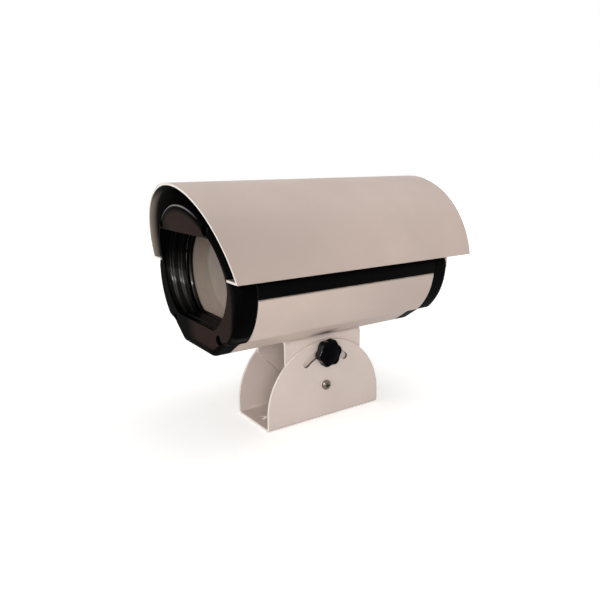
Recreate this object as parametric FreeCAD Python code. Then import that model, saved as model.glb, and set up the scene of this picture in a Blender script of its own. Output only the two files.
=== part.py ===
import FreeCAD, Part
import math
import os

# Outdoor housing for a box camera, on a two-piece tilt bracket.
# Millimetres. X runs across, -Y is the window end, +Z is up. The origin lies on the mounting
# plane, under the middle of the tilt pivot.

os.makedirs("parts", exist_ok=True)

# Base bracket: one folded sheet
SHEET = 2.5
BEND_R = 2.0
BASE_HALF_WIDTH = 29.0
EAR_R = 65.0
EAR_CENTRE_Z = 14.0
BASE_HOLE_R = 3.5
BASE_HOLE_PITCH = 108.0

# Tilt pivot and clamp
PIVOT_Z = 33.5
PIVOT_R = 2.5
PIVOT_PLAY = 0.06
PIVOT_NUT_FLAT = 8.0
PIVOT_NUT = 5.0
SLOT_EDGE = 12.0
SLOT_R = EAR_CENTRE_Z + EAR_R - SLOT_EDGE - PIVOT_Z
TILT_LIMIT = 42.0
CLAMP_R = 3.0
SLOT_PLAY = 0.3
CLAMP_PLAY = 0.1
CLAMP_HEAD_FLAT = 10.0
CLAMP_HEAD = 4.0
WASHER_R = 8.0
WASHER = 1.2
RUN_GAP = 0.15
EAR_GAP = 0.3

# Tilt bracket and its screws into the body
TILT_HALF_LENGTH = 44.0
TILT_SKIRT = 24.0
TILT_TOE_R = 13.0
BRACKET_SCREW_X = 12.0
BRACKET_SCREW_Y = 30.0
BRACKET_SCREW_R = 2.5
BRACKET_BOSS_R = 5.0
BRACKET_BOSS = 5.0
BOSS_ROOF = 1.5

# Pan head screws, as shares of the thread's radius, and the play in their holes
HEAD_RATIO = 1.9
HEAD_RISE = 1.3
PILOT_PLAY = 0.05
HOLE_PLAY = 0.2

# Body section
EAR_CLEARANCE = 5.5
UNDERSIDE_Z = EAR_CENTRE_Z + EAR_R + EAR_CLEARANCE
KEEL_HALF_WIDTH = 28.5
HALF_WIDTH = 81.3
SHELF_INSET = 31.3
SHELF_HALF_WIDTH = HALF_WIDTH - SHELF_INSET
SHELF_RISE = 14.8
SHELF_Z = UNDERSIDE_Z + SHELF_RISE
KNEE_RISE = 3.0
KNEE_Z = SHELF_Z + KNEE_RISE
SIDE_R = 60.0
SIDE_CENTRE_RISE = 62.9
SIDE_CENTRE_Z = UNDERSIDE_Z + SIDE_CENTRE_RISE
SHOULDER_RISE = 2.6
SHOULDER_Z = SIDE_CENTRE_Z + SHOULDER_RISE
ROOF_INSET = 2.8
ROOF_R = HALF_WIDTH - ROOF_INSET
ROOF_CENTRE_RISE = 50.5
ROOF_CENTRE_Z = UNDERSIDE_Z + ROOF_CENTRE_RISE
ROOF_Z = ROOF_CENTRE_Z + ROOF_R
SECTION_ROUND = 8.0
WALL = 2.5
SPLIT_RISE = 55.6
SPLIT_Z = UNDERSIDE_Z + SPLIT_RISE

# Body along its length
FRONT_Y = -119.5
SEAM_FRONT_Y = -102.4
SEAM_REAR_Y = 88.3
REAR_Y = 106.5
RAKE = 0.2
RAKE_START_Z = SHOULDER_Z
RAKE_BLEND_R = 60.0
FRONT_ROUND = 6.0
REAR_ROUND = 6.0
REAR_WALL = 3.0
GASKET = 1.0
SPIGOT = 6.0
SPIGOT_WALL = 2.0
FIT = 0.3
SIDE_GASKET = 1.0
GASKET_SHY = 0.6

# Window: three steps down to the glass
STEPS = 3
WINDOW_SILL = 10.2
WINDOW_BOTTOM_Z = SHELF_Z + WINDOW_SILL
WINDOW_BROW = 26.3
WINDOW_TOP_Z = ROOF_Z - WINDOW_BROW
WINDOW_FOOT_INSET = 14.0
WINDOW_BOTTOM_HALF = SHELF_HALF_WIDTH - WINDOW_FOOT_INSET
WINDOW_SIDE_INSET = 17.1
WINDOW_MID_HALF = HALF_WIDTH - WINDOW_SIDE_INSET
WINDOW_TAPER = 14.2
WINDOW_TOP_HALF = WINDOW_MID_HALF - WINDOW_TAPER
WINDOW_WIDEST = 0.6
STEP_SIDE = 5.2
STEP_BOTTOM = 0.7
STEP_TOP = 2.0
STEP_DEPTH = 6.2
GLASS = 3.0
GLASS_LAP = 5.0
GLASS_GASKET = 1.0
SEAT_RIM = 1.5
GASKET_INSET = 0.8

RETAINER = 2.5
RETAINER_LAP = 6.0
RETAINER_SCREW_X = 20.0
RETAINER_SCREW_OUT = 9.5
RETAINER_SCREW_R = 1.5
RETAINER_SCREW_BITE = 7.0
RETAINER_POST_R = 4.0
RETAINER_LOBE_R = 5.0

# Fasteners of the two ends
END_SCREW_INSET = 5.0
END_SCREW_X = SHELF_HALF_WIDTH - END_SCREW_INSET
END_SCREW_RISE = 4.2
END_SCREW_LOW_Z = SHELF_Z + END_SCREW_RISE
END_SCREW_ROOF = 5.3
END_SCREW_HIGH_Z = ROOF_CENTRE_Z + math.sqrt((ROOF_R - END_SCREW_ROOF) ** 2 - END_SCREW_X ** 2)
END_SCREW_R = 2.0
END_SCREW_BITE = 12.0
HEAD_SINK = 5.0
HEAD_PORT_R = 4.2
PORT_R = 4.2
PORT_WALL = 1.5

# Sunshield and the tabs that hold it to the rear cap
SHIELD_SHEET = 2.0
SHIELD_OUT = 5.3
SHIELD_R = HALF_WIDTH + SHIELD_OUT
SHIELD_LIFT = 7.1
SHIELD_CENTRE_Z = ROOF_CENTRE_Z + SHIELD_LIFT
SHIELD_STEP = 5.5
SHIELD_EDGE_Z = SHOULDER_Z + SHIELD_STEP
SHIELD_FRONT_Y = -121.3
SHIELD_REAR_Y = 130.9
SHIELD_RAKE = 0.23
LIP = 13.3
LIP_INNER_X = HALF_WIDTH - LIP
RAIL_PLAY = 1.5
TAB_HEIGHT = 12.0
TAB_HALF = 4.5
SHIELD_SCREW_R = 1.6
SHIELD_SCREW_BITE = 7.0
SHIELD_POST_R = 4.0

# Cable glands
GLAND_R = 8.0
GLAND_INSET = 16.0
GLAND_PITCH = SHELF_HALF_WIDTH - GLAND_INSET
GLAND_RISE = 33.5
GLAND_Z = UNDERSIDE_Z + GLAND_RISE
GLAND_FLAT = 20.0
GLAND_COLLAR = 4.0
GLAND_TAIL = 10.0
GLAND_NECK = 11.0
GLAND_NUT = 16.5
GLAND_CROWN = 3.5
GLAND_THREAD_PLAY = 0.05
GLAND_WALL = 1.6
SEAL = 6.0
LOCKNUT_FLAT = 22.0
LOCKNUT = 4.0
CABLE_R = 3.5

# Camera sled
SLED_RISE = 10.5
SLED_Z = UNDERSIDE_Z + SLED_RISE
SLED_SHEET = 2.0
SLED_HALF_WIDTH = 30.0
SLED_HALF_LENGTH = 72.0
SLED_LIP = 7.0
SLED_SCREW_X = 23.0
SLED_SCREW_INSET = 10.0
SLED_SCREW_Y = SLED_HALF_LENGTH - SLED_SCREW_INSET
SLED_SCREW_R = 1.5
SLED_SCREW_BITE = 5.0
SLED_POST_R = 4.5
SLED_ADJUST = 5.0
CAMERA_SLOT_INSET = 27.0
CAMERA_SLOT_HALF = SLED_HALF_LENGTH - CAMERA_SLOT_INSET
CAMERA_SCREW_R = 3.1
CAMERA_SCREW_REACH = 7.0
SHOULDER_STEP = 0.9
THREAD_RELIEF = 1.0
THREAD_RELIEF_DEPTH = 0.6
THUMB_R = 8.0
THUMB = 5.5
THUMB_BEVEL = 0.8

# Star knob
KNOB_R = 13.7
KNOB_LOBES = 6
KNOB_TURN = 38.0
LOBE_SHARE = 0.41
HOLLOW_SHARE = 0.6
KNOB_HEIGHT = 6.8
KNOB_EDGE = 2.2
KNOB_HUB = 0.6
KNOB_HUB_R = 7.0
CROWN_R = 9.0
CROWN = 1.6
KNOB_BUSH = 6.5
KNOB_BUSH_R = 4.6
BUSH_GROOVE = 1.2
BUSH_GROOVE_DEPTH = 0.6

# Well beyond the part, for shapes that cut right through it
FAR = 300.0
PAST = 1.0


def v(x, y, z):
    return FreeCAD.Vector(x, y, z)


def line(a, b):
    return Part.LineSegment(a, b).toShape()


def arc(a, middle, b):
    return Part.Arc(a, middle, b).toShape()


def face(edges):
    return Part.Face(Part.Wire(Part.__sortEdges__(edges)))


def polygon(points):
    return Part.Face(Part.makePolygon(points + points[:1]))


def extrude(shape, direction):
    solid = shape.extrude(direction)
    return solid if solid.Volume > 0 else solid.reversed()


def along_y(section, y0, y1):
    """The prism of a section drawn in the plane y = 0."""
    return extrude(section.translated(v(0, y0, 0)), v(0, y1 - y0, 0))


def across_x(section, x0, x1):
    """The prism of a side view drawn in the plane x = 0."""
    return extrude(section.translated(v(x0, 0, 0)), v(x1 - x0, 0, 0))


def box(x0, x1, y0, y1, z0, z1):
    return Part.makeBox(x1 - x0, y1 - y0, z1 - z0, v(x0, y0, z0))


def rod(radius, start, direction, length):
    return Part.makeCylinder(radius, length, start, direction)


def rod_y(radius, x, z, y0, y1):
    return rod(radius, v(x, y0, z), v(0, 1, 0), y1 - y0)


def rod_x(radius, y, z, x0, x1):
    return rod(radius, v(x0, y, z), v(1, 0, 0), x1 - x0)


def rod_z(radius, x, y, z0, z1):
    return rod(radius, v(x, y, z0), v(0, 0, 1), z1 - z0)


def tidy(shape):
    """The result of a join or cut without leftover seams, as a plain solid where it is one."""
    shape = shape.removeSplitter()
    return shape.Solids[0] if len(shape.Solids) == 1 else shape


def fuse(shapes):
    return tidy(shapes[0].fuse(shapes[1:]))


def cut(shape, tools):
    return tidy(shape.cut(tools))


def revolved(section):
    solid = section.revolve(v(0, 0, 0), v(0, 0, 1), 360)
    return solid if solid.Volume > 0 else solid.reversed()


def turned(profile):
    """The solid of a half profile, given as (radius, height) points, turned about Z."""
    return revolved(polygon([v(r, 0, h) for r, h in profile]))


def placed(shape, position, direction):
    """A shape built about +Z, turned to point along a direction and moved to a position."""
    copy = shape.copy()
    turn = FreeCAD.Placement(position, FreeCAD.Rotation(v(0, 0, 1), direction))
    copy.Placement = turn.multiply(copy.Placement)
    return copy


def hexagon(flat, height):
    points = []
    for i in range(6):
        angle = math.radians(60 * i)
        points.append(v(flat / math.sqrt(3) * math.cos(angle), flat / math.sqrt(3) * math.sin(angle), 0))
    return extrude(polygon(points), v(0, 0, height))


def crown_arc(radius, z0, z1):
    """The profile of a round crown, from its rim at z0 to its top on the axis at z1."""
    sphere = (radius ** 2 + (z1 - z0) ** 2) / (2 * (z1 - z0))
    half = math.asin(radius / sphere) / 2
    middle = v(sphere * math.sin(half), 0, z1 - sphere * (1 - math.cos(half)))
    return arc(v(radius, 0, z0), middle, v(0, 0, z1))


def pan_screw(radius, length):
    """A pan head screw with a cross recess: head above z = 0, shank below it."""
    head_r, head_h = HEAD_RATIO * radius, HEAD_RISE * radius
    rim = head_h * 0.45
    corners = [(0, head_h), (0, -length), (radius, -length), (radius, 0), (head_r, 0), (head_r, rim)]
    points = [v(r, 0, h) for r, h in corners]
    edges = [line(a, b) for a, b in zip(points, points[1:])]
    edges.append(crown_arc(head_r, rim, head_h))
    arm = head_r * 0.52
    slot = head_r * 0.13
    cross = [box(-arm, arm, -slot, slot, rim, head_h), box(-slot, slot, -arm, arm, rim, head_h)]
    return cut(revolved(face(edges)), cross)


def washer(inner, outer, thickness):
    return rod_z(outer, 0, 0, 0, thickness).cut(rod_z(inner, 0, 0, 0, thickness))


def hexagon_head(flat, height):
    """A hexagon with its corners turned down at the outer end."""
    corner = flat / math.sqrt(3)
    cone = turned([(0, -1), (corner + 1, -1), (corner + 1, height * 0.7), (flat / 2, height), (0, height)])
    return tidy(hexagon(flat, height).common(cone))


def nut(flat, height, bore):
    return cut(hexagon_head(flat, height), [rod_z(bore, 0, 0, -1, height + 1)])


def write(name, shape):
    shape.exportStep("parts/" + name + ".step")


def group(name, shapes):
    write(name, Part.makeCompound(shapes))


# Body section

def side_x(z):
    return HALF_WIDTH - SIDE_R + math.sqrt(SIDE_R ** 2 - (z - SIDE_CENTRE_Z) ** 2)


def roof_tangent():
    """Where a straight line from the shoulder meets the roof's arc."""
    rise = SHOULDER_Z - ROOF_CENTRE_Z
    angle = math.atan2(rise, HALF_WIDTH) + math.acos(ROOF_R / math.hypot(HALF_WIDTH, rise))
    return ROOF_R * math.cos(angle), ROOF_CENTRE_Z + ROOF_R * math.sin(angle)


def half_outline(s):
    """One side of the body's outline, from the keel to the roof; s is the side, 1 or -1."""
    keel = v(s * KEEL_HALF_WIDTH, 0, UNDERSIDE_Z)
    shelf = v(s * SHELF_HALF_WIDTH, 0, SHELF_Z)
    knee = v(s * side_x(KNEE_Z), 0, KNEE_Z)
    middle_z = (KNEE_Z + SIDE_CENTRE_Z) / 2
    middle = v(s * side_x(middle_z), 0, middle_z)
    widest = v(s * HALF_WIDTH, 0, SIDE_CENTRE_Z)
    shoulder = v(s * HALF_WIDTH, 0, SHOULDER_Z)
    x, z = roof_tangent()
    edges = [line(v(0, 0, UNDERSIDE_Z), keel), line(keel, shelf), line(shelf, knee)]
    edges += [arc(knee, middle, widest), line(widest, shoulder), line(shoulder, v(s * x, 0, z))]
    return edges


def rounded_corners(section, corners, radius):
    """The section with the named corners, given as (x, z), rounded."""
    solid = extrude(section, v(0, 10, 0))
    chosen = []
    for edge in solid.Edges:
        a, b = edge.Vertexes[0].Point, edge.Vertexes[-1].Point
        if abs(a.y - b.y) > 1 and any(math.hypot(a.x - x, a.z - z) < 0.01 for x, z in corners):
            chosen.append(edge)
    solid = solid.makeFillet(radius, chosen)
    end = min(solid.Faces, key=lambda f: f.CenterOfMass.y)
    return end


def body_section():
    x, z = roof_tangent()
    roof = arc(v(x, 0, z), v(0, 0, ROOF_CENTRE_Z + ROOF_R), v(-x, 0, z))
    section = face(half_outline(1) + [roof] + half_outline(-1))
    corners = []
    for s in (1, -1):
        corners += [(s * KEEL_HALF_WIDTH, UNDERSIDE_Z), (s * side_x(KNEE_Z), KNEE_Z)]
        corners.append((s * HALF_WIDTH, SHOULDER_Z))
    return rounded_corners(section, corners, SECTION_ROUND)


def inset(section, distance):
    return section.makeOffset2D(-distance).Faces[0]


SECTION = body_section()
INNER_SECTION = inset(SECTION, WALL)


def rail_boxes(y0, y1, grow):
    """The two side grooves that the sunshield's lips slide in; grow makes them larger."""
    z0, z1 = SHIELD_EDGE_Z - grow, SHIELD_EDGE_Z + SHIELD_SHEET + RAIL_PLAY + grow
    inner = LIP_INNER_X - RAIL_PLAY - grow
    return [box(inner, FAR, y0, y1, z0, z1), box(-FAR, -inner, y0, y1, z0, z1)]


def end_screw_points():
    return [(s * END_SCREW_X, z) for s in (1, -1) for z in (END_SCREW_LOW_Z, END_SCREW_HIGH_Z)]


# Shells

def bracket_screw_points():
    return [(sx * BRACKET_SCREW_X, sy * BRACKET_SCREW_Y) for sx in (1, -1) for sy in (1, -1)]


def sled_screw_points():
    return [(sx * SLED_SCREW_X, sy * SLED_SCREW_Y) for sx in (1, -1) for sy in (1, -1)]


def tube(outer_section, y0, y1):
    """The body's hollow section between two places along Y, with side grooves and screw ports."""
    outer = cut(along_y(outer_section, y0, y1), rail_boxes(-FAR, FAR, 0))
    hollow = cut(along_y(INNER_SECTION, y0 - PAST, y1 + PAST), rail_boxes(-FAR, FAR, WALL))
    ports = [rod_y(PORT_R, x, z, -FAR, FAR) for x, z in end_screw_points()]
    pilots = [rod_y(END_SCREW_R + PILOT_PLAY, x, z, -FAR, FAR) for x, z in end_screw_points()]
    return cut(outer, [cut(hollow, ports)] + pilots)


SHELL_Y0 = SEAM_FRONT_Y + GASKET
SHELL_Y1 = SEAM_REAR_Y - GASKET
FLOOR_Z = UNDERSIDE_Z + WALL
BRACKET_BOSS_Z = FLOOR_Z + BRACKET_BOSS


def lower_shell():
    shell = tube(SECTION, SHELL_Y0, SHELL_Y1).common(box(-FAR, FAR, -FAR, FAR, 0, SPLIT_Z))
    root = FLOOR_Z - WALL / 4
    bosses = [rod_z(BRACKET_BOSS_R, x, y, root, BRACKET_BOSS_Z) for x, y in bracket_screw_points()]
    posts = [rod_z(SLED_POST_R, x, y, root, SLED_Z) for x, y in sled_screw_points()]
    bore = BRACKET_SCREW_R + PILOT_PLAY
    holes = [rod_z(bore, x, y, 0, BRACKET_BOSS_Z - BOSS_ROOF) for x, y in bracket_screw_points()]
    holes += [rod_z(SLED_SCREW_R + PILOT_PLAY, x, y, FLOOR_Z, FAR) for x, y in sled_screw_points()]
    return cut(fuse([shell] + bosses + posts), holes)


def upper_shell():
    above = box(-FAR, FAR, -FAR, FAR, SPLIT_Z + SIDE_GASKET, FAR)
    return tube(SECTION, SHELL_Y0, SHELL_Y1).common(above)


def side_gaskets():
    section = inset(SECTION, GASKET_SHY)
    strip = tube(section, SHELL_Y0, SHELL_Y1)
    return strip.common(box(-FAR, FAR, -FAR, FAR, SPLIT_Z, SPLIT_Z + SIDE_GASKET))


def end_gasket(y0):
    return tube(inset(SECTION, GASKET_SHY), y0, y0 + GASKET)


# Front bezel and window

def front_profile(shift):
    """Side view of the space behind the front surface: upright below, leaning out above."""
    angle = math.atan(RAKE)
    reach = RAKE_BLEND_R * math.tan(angle / 2)
    y = FRONT_Y + shift
    low = v(0, y, RAKE_START_Z - reach)
    high = v(0, y - reach * math.sin(angle), RAKE_START_Z + reach * math.cos(angle))
    middle = v(0, y - RAKE_BLEND_R * (1 - math.cos(angle / 2)), low.z + RAKE_BLEND_R * math.sin(angle / 2))
    top = v(0, high.y - RAKE * (FAR - high.z), FAR)
    edges = [line(v(0, y, 0), low), arc(low, middle, high), line(high, top)]
    edges += [line(top, v(0, FAR, FAR)), line(v(0, FAR, FAR), v(0, FAR, 0)), line(v(0, FAR, 0), v(0, y, 0))]
    return across_x(face(edges), -FAR, FAR)


def front_y(z):
    """Where the front surface lies at a height, well above or below the blend."""
    return FRONT_Y - RAKE * max(0.0, z - RAKE_START_Z)


def barrel(step, grow=0.0):
    """The window's outline: flat top and bottom, bowed sides; each step inwards is smaller."""
    z0 = WINDOW_BOTTOM_Z + step * STEP_BOTTOM
    z1 = WINDOW_TOP_Z - step * STEP_TOP
    low = WINDOW_BOTTOM_HALF - step * STEP_SIDE / 2
    middle = WINDOW_MID_HALF - step * STEP_SIDE
    high = WINDOW_TOP_HALF - step * STEP_SIDE
    zm = z0 + WINDOW_WIDEST * (z1 - z0)
    edges = [line(v(-low, 0, z0), v(low, 0, z0)), arc(v(low, 0, z0), v(middle, 0, zm), v(high, 0, z1))]
    edges += [line(v(high, 0, z1), v(-high, 0, z1)), arc(v(-high, 0, z1), v(-middle, 0, zm), v(-low, 0, z0))]
    outline = face(edges)
    return outline.makeOffset2D(grow).Faces[0] if grow else outline


LIP_Y = FRONT_Y + STEPS * STEP_DEPTH
GASKET_Y = LIP_Y + WALL
GLASS_Y = GASKET_Y + GLASS_GASKET
RETAINER_Y = GLASS_Y + GLASS


def retainer_screw_points():
    low = WINDOW_BOTTOM_Z + STEPS * STEP_BOTTOM - RETAINER_SCREW_OUT
    high = WINDOW_TOP_Z - STEPS * STEP_TOP + RETAINER_SCREW_OUT
    return [(s * RETAINER_SCREW_X, z) for s in (1, -1) for z in (low, high)]


def rounded_front(solid):
    """The front edge of the bezel's outer form, rounded all the way round."""
    chosen = []
    for edge in solid.Edges:
        first, last = edge.ParameterRange
        points = [edge.valueAt(first + (last - first) * t) for t in (0.1, 0.5, 0.9)]
        on_front = all(p.y < FRONT_Y + 0.01 for p in points)
        across = abs(points[1].x) < 1 and KNEE_Z < points[1].z < END_SCREW_HIGH_Z
        if on_front and not across:
            chosen.append(edge)
    return solid.makeFillet(FRONT_ROUND, chosen)


def spigot(y0, y1):
    """The thin tongue that centres an end piece in the shells."""
    outer = along_y(inset(INNER_SECTION, FIT), y0, y1)
    inner = along_y(inset(INNER_SECTION, FIT + SPIGOT_WALL), -FAR, FAR)
    clear = [rod_y(PORT_R + FIT, x, z, -FAR, FAR) for x, z in end_screw_points()]
    return cut(outer, [inner] + clear + rail_boxes(-FAR, FAR, WALL + FIT))


def front_bezel():
    floors = [FRONT_Y + (i + 1) * STEP_DEPTH for i in range(STEPS)]
    outer = rounded_front(along_y(SECTION, -FAR, SEAM_FRONT_Y).common(front_profile(0)))
    outer = cut(outer, rail_boxes(-FAR, FAR, 0))
    hollow = along_y(INNER_SECTION, -FAR, SEAM_FRONT_Y + PAST).common(front_profile(REAR_WALL))
    keep = rail_boxes(-FAR, FAR, WALL)
    keep += [along_y(barrel(i, WALL), -FAR, y + WALL) for i, y in enumerate(floors)]
    keep += [rod_y(PORT_R + PORT_WALL, x, z, -FAR, FAR) for x, z in end_screw_points()]
    keep += [rod_y(RETAINER_POST_R, x, z, -FAR, FAR) for x, z in retainer_screw_points()]
    body = cut(outer, [cut(hollow, keep)])
    root = SEAM_FRONT_Y - PAST
    seat = along_y(barrel(STEPS, GLASS_LAP + SEAT_RIM), LIP_Y, GASKET_Y)
    posts = [rod_y(RETAINER_POST_R, x, z, root, RETAINER_Y) for x, z in retainer_screw_points()]
    body = fuse([body, spigot(root, SEAM_FRONT_Y + SPIGOT), seat] + posts)
    tools = [along_y(barrel(i), -FAR, y) for i, y in enumerate(floors)]
    tools.append(along_y(barrel(STEPS), -FAR, FAR))
    for x, z in end_screw_points():
        tools.append(rod_y(END_SCREW_R + HOLE_PLAY, x, z, -FAR, FAR))
        tools.append(rod_y(HEAD_PORT_R, x, z, -FAR, front_y(z) + HEAD_SINK))
    pilot_y = RETAINER_Y - RETAINER_SCREW_BITE - PAST
    for x, z in retainer_screw_points():
        tools.append(rod_y(RETAINER_SCREW_R + PILOT_PLAY, x, z, pilot_y, FAR))
    return cut(body, tools)


def window_gasket():
    ring = along_y(barrel(STEPS, GLASS_LAP - GASKET_INSET), GASKET_Y, GLASS_Y)
    return ring.cut(along_y(barrel(STEPS, GASKET_INSET), -FAR, FAR))


def window_glass():
    return along_y(barrel(STEPS, GLASS_LAP), GLASS_Y, RETAINER_Y)


def glass_retainer():
    y0, y1 = RETAINER_Y, RETAINER_Y + RETAINER
    lobes = [rod_y(RETAINER_LOBE_R, x, z, y0, y1) for x, z in retainer_screw_points()]
    plate = fuse([along_y(barrel(STEPS, RETAINER_LAP), y0, y1)] + lobes)
    holes = [rod_y(RETAINER_SCREW_R + HOLE_PLAY, x, z, -FAR, FAR) for x, z in retainer_screw_points()]
    return cut(plate, [along_y(barrel(STEPS, GASKET_INSET), -FAR, FAR)] + holes)


def retainer_screws():
    screw = pan_screw(RETAINER_SCREW_R, RETAINER + RETAINER_SCREW_BITE)
    return [placed(screw, v(x, RETAINER_Y + RETAINER, z), v(0, 1, 0)) for x, z in retainer_screw_points()]


def bezel_screws():
    screws = []
    for x, z in end_screw_points():
        seat = front_y(z) + HEAD_SINK
        screw = pan_screw(END_SCREW_R, SEAM_FRONT_Y + END_SCREW_BITE - seat)
        screws.append(placed(screw, v(x, seat, z), v(0, -1, 0)))
    return screws


# Rear cap and cable glands

def gland_points():
    return [(i * GLAND_PITCH, GLAND_Z) for i in (-1, 0, 1)]


def rear_cap():
    outer = along_y(SECTION, SEAM_REAR_Y, REAR_Y)
    rim = [e for e in outer.Edges if all(abs(p.Point.y - REAR_Y) < 0.01 for p in e.Vertexes)]
    outer = cut(outer.makeFillet(REAR_ROUND, rim), rail_boxes(-FAR, FAR, 0))
    hollow = along_y(inset(SECTION, REAR_WALL), SEAM_REAR_Y - PAST, REAR_Y - REAR_WALL)
    keep = rail_boxes(-FAR, FAR, REAR_WALL)
    keep += [rod_y(PORT_R + PORT_WALL, x, z, 0, FAR) for x, z in end_screw_points()]
    keep += [rod_y(SHIELD_POST_R, x, z, 0, FAR) for x, z in shield_screw_points()]
    body = cut(outer, [cut(hollow, keep)])
    body = fuse([body, spigot(SEAM_REAR_Y - SPIGOT, SEAM_REAR_Y + PAST)])
    tools = [rod_y(GLAND_R, x, z, 0, FAR) for x, z in gland_points()]
    tools += [rod_y(END_SCREW_R + HOLE_PLAY, x, z, 0, FAR) for x, z in end_screw_points()]
    tools += [rod_y(HEAD_PORT_R, x, z, REAR_Y - HEAD_SINK, FAR) for x, z in end_screw_points()]
    pilot_y = REAR_Y - SHIELD_SCREW_BITE - PAST
    tools += [rod_y(SHIELD_SCREW_R + PILOT_PLAY, x, z, pilot_y, FAR) for x, z in shield_screw_points()]
    return cut(body, tools)


def rear_screws():
    seat = REAR_Y - HEAD_SINK
    screw = pan_screw(END_SCREW_R, seat - SEAM_REAR_Y + END_SCREW_BITE)
    return [placed(screw, v(x, seat, z), v(0, 1, 0)) for x, z in end_screw_points()]


def on_glands(shape):
    return [placed(shape, v(x, REAR_Y, z), v(0, 1, 0)) for x, z in gland_points()]


def gland_body():
    """A hexagonal collar with a threaded tail through the wall and a neck for the dome nut."""
    tail = rod_z(GLAND_R - GLAND_THREAD_PLAY, 0, 0, -GLAND_TAIL, 0)
    neck = rod_z(GLAND_R - HOLE_PLAY, 0, 0, 0, GLAND_NECK)
    body = fuse([tail, hexagon(GLAND_FLAT, GLAND_COLLAR), neck])
    bore = rod_z(CABLE_R + GLAND_WALL, 0, 0, -FAR, FAR)
    return cut(body, [bore, rod_z(GLAND_R - GLAND_WALL, 0, 0, GLAND_NECK - GLAND_COLLAR, FAR)])


def gland_seal():
    inset_z = GLAND_NECK - GLAND_COLLAR
    return washer(CABLE_R, GLAND_R - GLAND_WALL - PILOT_PLAY, SEAL).translated(v(0, 0, inset_z))


def gland_nut():
    """A hexagonal nut with a rounded crown, open for the cable."""
    low, top = GLAND_COLLAR + HOLE_PLAY * 2, GLAND_NUT
    flat_z = top - GLAND_CROWN
    corner = GLAND_FLAT / math.sqrt(3)
    crown = [(0, low), (corner + PAST, low), (corner + PAST, flat_z - PAST), (GLAND_FLAT / 2, flat_z)]
    dome = turned(crown + [(GLAND_FLAT * 0.375, top), (0, top)])
    body = hexagon(GLAND_FLAT, GLAND_NUT + PAST).common(dome)
    thread = rod_z(GLAND_R - HOLE_PLAY + PILOT_PLAY, 0, 0, 0, GLAND_NECK + HOLE_PLAY)
    seal = rod_z(GLAND_R - GLAND_WALL, 0, 0, 0, GLAND_NECK - GLAND_COLLAR + SEAL + PILOT_PLAY)
    return cut(body, [thread, seal, rod_z(CABLE_R + PAST, 0, 0, 0, FAR)])


def gland_locknut():
    inside = nut(LOCKNUT_FLAT, LOCKNUT, GLAND_R).mirror(v(0, 0, 0), v(0, 0, 1))
    return inside.translated(v(0, 0, -REAR_WALL))


# Sunshield

def shield_screw_points():
    return [(s * (LIP_INNER_X + TAB_HALF), SHIELD_EDGE_Z - TAB_HEIGHT / 2) for s in (1, -1)]


def shield_arch(radius, z0):
    """The region under an arch of the shield, down to a level edge."""
    x = math.sqrt(radius ** 2 - (z0 - SHIELD_CENTRE_Z) ** 2)
    top = v(0, 0, SHIELD_CENTRE_Z + radius)
    return face([line(v(-x, 0, z0), v(x, 0, z0)), arc(v(x, 0, z0), top, v(-x, 0, z0))])


def sunshield():
    z0 = SHIELD_EDGE_Z
    inner = shield_arch(SHIELD_R - SHIELD_SHEET, z0 + SHIELD_SHEET)
    mouth = box(-LIP_INNER_X, LIP_INNER_X, -FAR, FAR, 0, z0 + SHIELD_SHEET + PAST / 2)
    sheet = cut(along_y(shield_arch(SHIELD_R, z0), -FAR, SHIELD_REAR_Y), [along_y(inner, -FAR, FAR), mouth])
    front = [v(0, SHIELD_FRONT_Y - SHIELD_RAKE * (z - z0), z) for z in (0, FAR)]
    ahead = across_x(polygon(front + [v(0, -2 * FAR, FAR), v(0, -2 * FAR, 0)]), -FAR, FAR)
    tabs = []
    for x, z in shield_screw_points():
        y1 = REAR_Y + SHIELD_SHEET
        tabs.append(box(x - TAB_HALF, x + TAB_HALF, REAR_Y, y1, z0 - TAB_HEIGHT, z0 + PAST / 2))
    holes = [rod_y(SHIELD_SCREW_R + HOLE_PLAY, x, z, 0, FAR) for x, z in shield_screw_points()]
    return cut(fuse([sheet.cut(ahead)] + tabs), holes)


def shield_screws():
    screw = pan_screw(SHIELD_SCREW_R, SHIELD_SHEET + SHIELD_SCREW_BITE)
    return [placed(screw, v(x, REAR_Y + SHIELD_SHEET, z), v(0, 1, 0)) for x, z in shield_screw_points()]


# Camera sled

def slot_z(x, y0, y1, radius, z0, z1):
    """A round-ended slot along Y, through a level sheet."""
    ends = [rod_z(radius, x, y0, z0, z1), rod_z(radius, x, y1, z0, z1)]
    return fuse(ends + [box(x - radius, x + radius, y0, y1, z0, z1)])


def camera_sled():
    z1 = SLED_Z + SLED_SHEET
    w, y1 = SLED_HALF_WIDTH, SLED_HALF_LENGTH
    tray = box(-w, w, -y1, y1, SLED_Z, z1 + SLED_LIP)
    tray = tray.cut(box(SLED_SHEET - w, w - SLED_SHEET, -FAR, FAR, z1, FAR))
    long_slot = slot_z(0, -CAMERA_SLOT_HALF, CAMERA_SLOT_HALF, CAMERA_SCREW_R + SHOULDER_STEP + FIT, 0, FAR)
    slots = []
    for x, y in sled_screw_points():
        slots.append(slot_z(x, y - SLED_ADJUST, y + SLED_ADJUST, SLED_SCREW_R + FIT, 0, FAR))
    return cut(tray, [long_slot] + slots)


def sled_screws():
    screw = pan_screw(SLED_SCREW_R, SLED_SHEET + SLED_SCREW_BITE)
    return [placed(screw, v(x, y, SLED_Z + SLED_SHEET), v(0, 0, 1)) for x, y in sled_screw_points()]


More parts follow.
